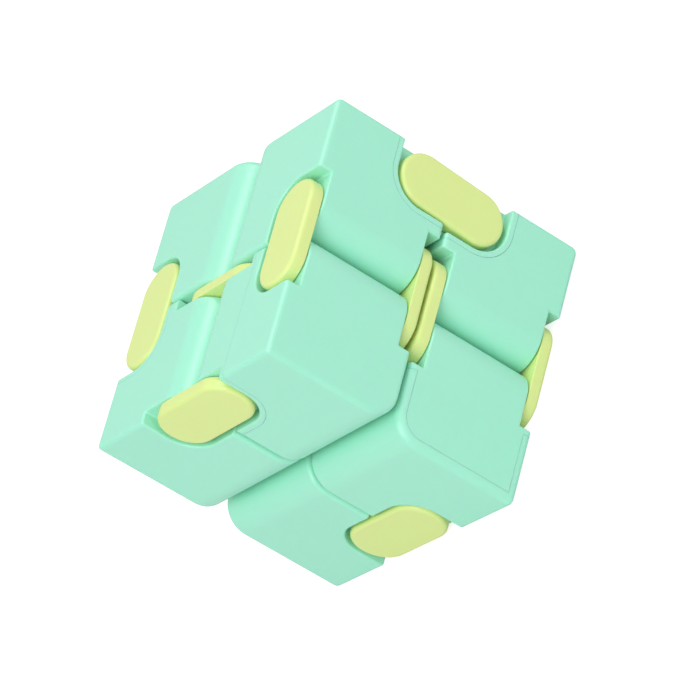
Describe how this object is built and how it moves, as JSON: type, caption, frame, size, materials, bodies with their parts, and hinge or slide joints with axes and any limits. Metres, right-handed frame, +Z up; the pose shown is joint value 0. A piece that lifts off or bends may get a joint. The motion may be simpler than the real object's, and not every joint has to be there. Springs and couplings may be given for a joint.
{
  "type": "folding fidget cube",
  "caption": "Small folding fidget cube: hollow plastic cubelets joined edge to edge into a ring by double hinges with paired round-ended link plates.",
  "frame": {"origin": "middle of the footprint, on the table the toy stands on", "axes": "+Z up; -Y is the front; the book fold's hinge line runs along Y on the +X side"},
  "size_m": [0.0404, 0.0404, 0.0399],
  "materials": {
    "cubelet_plastic": "satin moulded mint green, fine grain",
    "link_plastic": "satin moulded pale yellow, fine grain"
  },
  "bodies": {
    "lower_front_pair": {"shell_e": "cubelet_plastic", "cover_e": "cubelet_plastic", "shell_f": "cubelet_plastic", "cover_f": "cubelet_plastic", "link_ef_lower": "link_plastic", "link_ef_upper": "link_plastic"},
    "upper_front_pair": {"shell_a": "cubelet_plastic", "cover_a": "cubelet_plastic", "shell_c": "cubelet_plastic", "cover_c": "cubelet_plastic", "link_ac_lower": "link_plastic", "link_ac_upper": "link_plastic"},
    "upper_rear_pair": {"shell_d": "cubelet_plastic", "cover_d": "cubelet_plastic", "shell_b": "cubelet_plastic", "cover_b": "cubelet_plastic", "link_bd_lower": "link_plastic", "link_bd_upper": "link_plastic"},
    "lower_rear_pair": {"shell_h": "cubelet_plastic", "cover_h": "cubelet_plastic", "shell_g": "cubelet_plastic", "cover_g": "cubelet_plastic", "link_gh_lower": "link_plastic", "link_gh_upper": "link_plastic"},
    "link_ae": {"link_ae_front": "link_plastic", "link_ae_rear": "link_plastic"},
    "link_cd": {"link_cd_left": "link_plastic", "link_cd_right": "link_plastic"},
    "link_bh": {"link_bh_front": "link_plastic", "link_bh_rear": "link_plastic"},
    "link_fg": {"link_fg_right": "link_plastic", "link_fg_left": "link_plastic"}
  },
  "joints": [
    {"name": "book_fold", "type": "hinge", "parent": "lower_front_pair", "child": "link_ae", "pos_m": [0.01537, -0.00972, 0.01555], "axis": [0, 1, 0], "range_deg": [0, 90]},
    {"name": "book_ae_upper_pin", "type": "hinge", "parent": "link_ae", "child": "upper_front_pair", "pos_m": [0.01589, -0.00971, 0.0244], "axis": [-0.0192, 0.9998, 0], "range_deg": [0, 90]},
    {"name": "book_bh_upper_pin", "type": "hinge", "parent": "upper_rear_pair", "child": "link_bh", "pos_m": [0.01551, 0.01029, 0.0244], "axis": [0.0192, -0.9998, 0], "range_deg": [0, 90]},
    {"name": "book_bh_lower_pin", "type": "hinge", "parent": "link_bh", "child": "lower_rear_pair", "pos_m": [0.01537, 0.01028, 0.01555], "axis": [0, -1, 0], "range_deg": [0, 90]},
    {"name": "long_fold", "type": "hinge", "parent": "upper_front_pair", "child": "link_cd", "pos_m": [-0.00991, -0.00451, 0.0358], "axis": [0.9998, 0.0192, 0], "range_deg": [0, 90]},
    {"name": "long_cd_rear_pin", "type": "hinge", "parent": "link_cd", "child": "upper_rear_pair", "pos_m": [-0.01008, 0.00409, 0.0358], "axis": [0.9998, 0.0192, 0], "range_deg": [0, 90]},
    {"name": "long_fg_front_pin", "type": "hinge", "parent": "lower_front_pair", "child": "link_fg", "pos_m": [-0.01033, -0.0039, 0.00402], "axis": [-1, 0, 0], "range_deg": [0, 90]}
  ],
  "couplings": [
    {"joint": "book_ae_upper_pin", "follows": "book_fold", "ratio": 1},
    {"joint": "book_bh_upper_pin", "follows": "book_fold", "ratio": 1},
    {"joint": "book_bh_lower_pin", "follows": "book_fold", "ratio": 1},
    {"joint": "long_cd_rear_pin", "follows": "long_fold", "ratio": 1},
    {"joint": "long_fg_front_pin", "follows": "long_fold", "ratio": 1}
  ]
}
